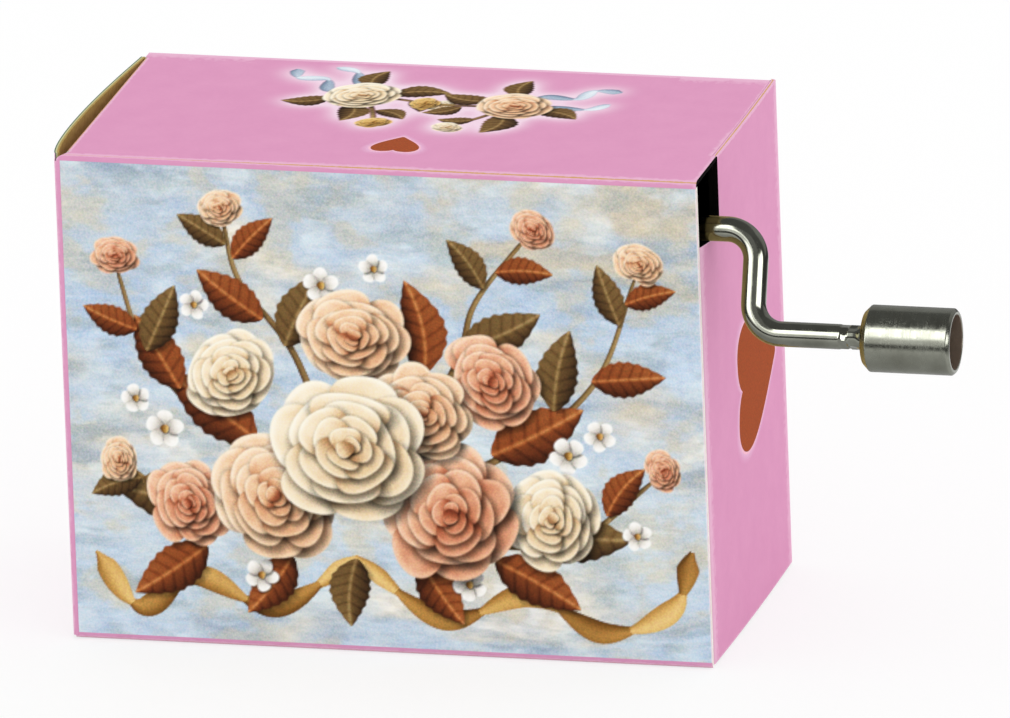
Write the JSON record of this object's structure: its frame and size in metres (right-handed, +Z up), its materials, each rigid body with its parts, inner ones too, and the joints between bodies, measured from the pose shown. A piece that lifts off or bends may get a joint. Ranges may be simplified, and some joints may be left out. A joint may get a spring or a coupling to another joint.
{
  "type": "hand-cranked music box",
  "caption": "Folding-carton music box: a bent crank with a knob turns a worm, a pinned cylinder and its comb, hung under the top panel; the left end flap opens.",
  "frame": {"origin": "middle of the carton's underside, on the surface that it stands on", "axes": "+X along the crank shaft towards the knob, +Y from the front panel to the back, +Z up"},
  "size_m": [0.0845, 0.0326, 0.0465],
  "materials": {
    "printed_board": "printed folding carton, pink outside with a satin varnish, plain brown inside",
    "hardboard": "plain hardboard",
    "zinc_casting": "zinc die casting, as cast",
    "spring_steel": "ground spring steel",
    "plain_steel": "bright zinc plate",
    "soft_metal": "dull soft solder",
    "nickel_plate": "bright nickel plate on steel",
    "brass": "turned brass",
    "nylon": "moulded nylon"
  },
  "bodies": {
    "case": {"carton_sleeve": "printed_board", "right_end_flap": "printed_board", "sound_board": "hardboard", "mounting_screws": "plain_steel", "bedplate": "zinc_casting", "comb": "spring_steel", "comb_weights": "soft_metal", "comb_screws": "plain_steel", "shaft_bushes": "brass"},
    "crank": {"crank_rod": "nickel_plate", "worm": "brass", "thrust_washer": "nylon", "shaft_ring": "spring_steel"},
    "knob": {"crank_knob": "nickel_plate"},
    "cylinder": {"cylinder_drum": "brass", "tune_pins": "spring_steel", "drum_end_caps": "brass", "worm_wheel": "nylon", "cylinder_arbor": "plain_steel", "arbor_ring": "spring_steel"},
    "left_flap": {"left_end_flap": "printed_board"}
  },
  "joints": [
    {"name": "crank_turn", "type": "hinge", "parent": "case", "child": "crank", "pos_m": [0, -0.01105, 0.04075], "axis": [1, 0, 0], "continuous": true},
    {"name": "knob_spin", "type": "hinge", "parent": "crank", "child": "knob", "pos_m": [0, -0.01421, 0.03206], "axis": [1, 0, 0], "continuous": true},
    {"name": "cylinder_turn", "type": "hinge", "parent": "case", "child": "cylinder", "pos_m": [0.013, 0, 0.0336], "axis": [0, 1, 0], "continuous": true},
    {"name": "left_flap_hinge", "type": "hinge", "parent": "case", "child": "left_flap", "pos_m": [-0.02977, -0.01503, 0], "axis": [0, 0, 1], "range_deg": [0, 135]}
  ],
  "couplings": [
    {"joint": "cylinder_turn", "follows": "crank_turn", "ratio": 0.038462}
  ]
}
